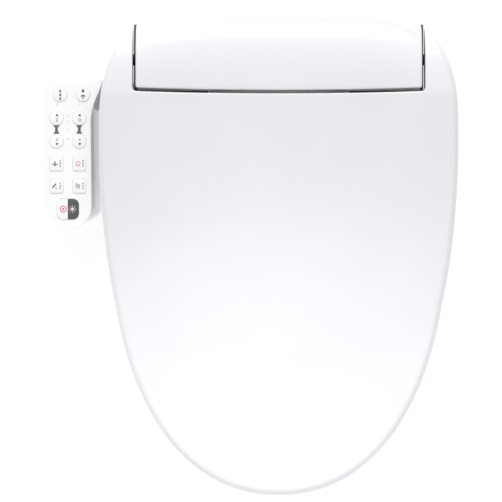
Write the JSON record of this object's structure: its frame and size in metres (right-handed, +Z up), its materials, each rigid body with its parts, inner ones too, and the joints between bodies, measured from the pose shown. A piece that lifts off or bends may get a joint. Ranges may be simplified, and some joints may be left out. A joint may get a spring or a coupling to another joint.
{
  "type": "electric bidet seat",
  "caption": "Electric bidet toilet seat with hinged seat ring and lid, rear housing with sliding wash nozzle and warm-air dryer, and a side control panel of push buttons.",
  "frame": {"origin": "midway between the two fixing bolts, on the plane of the toilet bowl's rim", "axes": "+Z up, +Y towards the rear of the bowl, +X to the right seen from the front, so the control panel is on -X"},
  "size_m": [0.4393, 0.518, 0.1101],
  "materials": {
    "white_gloss": "glossy moulded ABS or PP",
    "white_satin": "satin moulded PP",
    "key_dark": "glossy dark grey key",
    "grey_plastic": "moulded engineering plastic",
    "dark_plastic": "black glass-filled plastic",
    "rubber_grey": "soft light grey rubber",
    "rubber_dark": "black rubber",
    "steel": "bright steel",
    "copper_coil": "lacquered coil",
    "circuit_board": "green solder resist",
    "lens": "clear diffusing lens",
    "heater_film": "etched foil on film"
  },
  "bodies": {
    "base": {"base_tray": "white_satin", "rear_cover": "white_gloss", "case_screws": "steel", "base_feet": "rubber_dark", "mounting_bracket": "grey_plastic", "cord_gland": "rubber_dark", "seat_damper": "dark_plastic", "lid_damper": "dark_plastic", "water_inlet": "steel", "inlet_filter": "grey_plastic", "valve_body": "grey_plastic", "solenoid_coil": "copper_coil", "heater_tank": "white_satin", "tank_lid": "white_satin", "water_hose": "rubber_dark", "nozzle_snout": "white_satin", "nozzle_cradle": "white_satin", "nozzle_motor": "steel", "fan_housing": "dark_plastic", "fan_motor": "steel", "dryer_duct": "dark_plastic", "dryer_heater": "steel", "dryer_grille": "white_satin", "main_board": "circuit_board", "board_parts": "dark_plastic", "night_light": "lens", "panel_case": "white_gloss", "panel_cover": "white_gloss", "panel_board": "circuit_board", "panel_switches": "dark_plastic", "indicator_lenses": "lens", "panel_harness": "rubber_dark"},
    "seat": {"seat_top_shell": "white_gloss", "seat_bottom_shell": "white_gloss", "seat_heater": "heater_film", "seat_sensor": "circuit_board", "seat_bumpers": "rubber_grey"},
    "lid": {"lid_shell": "white_gloss", "lid_bumpers": "rubber_grey"},
    "nozzle": {"nozzle_wand": "white_satin", "nozzle_tip": "white_satin", "nozzle_carriage": "white_satin"},
    "feed_screw": {"feed_screw": "steel"},
    "impeller": {"fan_impeller": "dark_plastic"},
    "release_button": {"release_button": "white_satin"},
    "release_rocker": {"release_rocker": "grey_plastic"},
    "release_latch": {"release_latch": "grey_plastic"},
    "button_rear": {"button_rear": "white_gloss"},
    "button_front": {"button_front": "white_gloss"},
    "button_temp_up": {"button_temp_up": "white_gloss"},
    "button_force_up": {"button_force_up": "white_gloss"},
    "button_temp_down": {"button_temp_down": "white_gloss"},
    "button_force_down": {"button_force_down": "white_gloss"},
    "button_seat": {"button_seat": "white_gloss"},
    "button_power": {"button_power": "white_gloss"},
    "button_clean": {"button_clean": "white_gloss"},
    "button_dry": {"button_dry": "white_gloss"},
    "button_stop": {"button_stop": "white_gloss"},
    "button_light": {"button_light": "key_dark"}
  },
  "joints": [
    {"name": "seat_hinge", "type": "hinge", "parent": "base", "child": "seat", "pos_m": [0, -0.008, 0.062], "axis": [-1, 0, 0], "range_deg": [0, 95]},
    {"name": "lid_hinge", "type": "hinge", "parent": "seat", "child": "lid", "pos_m": [0, -0.008, 0.062], "axis": [1, 0, 0], "range_deg": [-105, 0]},
    {"name": "nozzle_slide", "type": "slide", "parent": "base", "child": "nozzle", "axis": [0, -0.9063, -0.4226], "range_m": [0, 0.082]},
    {"name": "feed_screw_spin", "type": "hinge", "parent": "base", "child": "feed_screw", "pos_m": [0.016, -0.07387, 0.02445], "axis": [0, -0.9063, -0.4226], "range_deg": [0, 1240]},
    {"name": "impeller_spin", "type": "hinge", "parent": "base", "child": "impeller", "pos_m": [0.049, 0.005, 0.05], "axis": [1, 0, 0], "continuous": true},
    {"name": "release_push", "type": "slide", "parent": "base", "child": "release_button", "axis": [-1, 0, 0], "range_m": [0, 0.004], "stiffness_N_per_m": 600},
    {"name": "release_rock", "type": "hinge", "parent": "base", "child": "release_rocker", "pos_m": [0.12, 0.005, 0.0105], "axis": [0, 0, -1], "range_deg": [0, 23]},
    {"name": "release_draw", "type": "slide", "parent": "base", "child": "release_latch", "axis": [1, 0, 0], "range_m": [0, 0.004]},
    {"name": "button_rear_press", "type": "slide", "parent": "base", "child": "button_rear", "axis": [0, 0, -1], "range_m": [0, 0.0008], "stiffness_N_per_m": 1500},
    {"name": "button_front_press", "type": "slide", "parent": "base", "child": "button_front", "axis": [0, 0, -1], "range_m": [0, 0.0008], "stiffness_N_per_m": 1500},
    {"name": "button_temp_up_press", "type": "slide", "parent": "base", "child": "button_temp_up", "axis": [0, 0, -1], "range_m": [0, 0.0008], "stiffness_N_per_m": 1500},
    {"name": "button_force_up_press", "type": "slide", "parent": "base", "child": "button_force_up", "axis": [0, 0, -1], "range_m": [0, 0.0008], "stiffness_N_per_m": 1500},
    {"name": "button_temp_down_press", "type": "slide", "parent": "base", "child": "button_temp_down", "axis": [0, 0, -1], "range_m": [0, 0.0008], "stiffness_N_per_m": 1500},
    {"name": "button_force_down_press", "type": "slide", "parent": "base", "child": "button_force_down", "axis": [0, 0, -1], "range_m": [0, 0.0008], "stiffness_N_per_m": 1500},
    {"name": "button_seat_press", "type": "slide", "parent": "base", "child": "button_seat", "axis": [0, 0, -1], "range_m": [0, 0.0008], "stiffness_N_per_m": 1500},
    {"name": "button_power_press", "type": "slide", "parent": "base", "child": "button_power", "axis": [0, 0, -1], "range_m": [0, 0.0008], "stiffness_N_per_m": 1500},
    {"name": "button_clean_press", "type": "slide", "parent": "base", "child": "button_clean", "axis": [0, 0, -1], "range_m": [0, 0.0008], "stiffness_N_per_m": 1500},
    {"name": "button_dry_press", "type": "slide", "parent": "base", "child": "button_dry", "axis": [0, 0, -1], "range_m": [0, 0.0008], "stiffness_N_per_m": 1500},
    {"name": "button_stop_press", "type": "slide", "parent": "base", "child": "button_stop", "axis": [0, 0, -1], "range_m": [0, 0.0008], "stiffness_N_per_m": 1500},
    {"name": "button_light_press", "type": "slide", "parent": "base", "child": "button_light", "axis": [0, 0, -1], "range_m": [0, 0.0008], "stiffness_N_per_m": 1500}
  ],
  "couplings": [
    {"joint": "feed_screw_spin", "follows": "nozzle_slide", "rad_per_m": 261.8},
    {"joint": "release_rock", "follows": "release_push", "rad_per_m": 100},
    {"joint": "release_draw", "follows": "release_push", "ratio": 1}
  ]
}
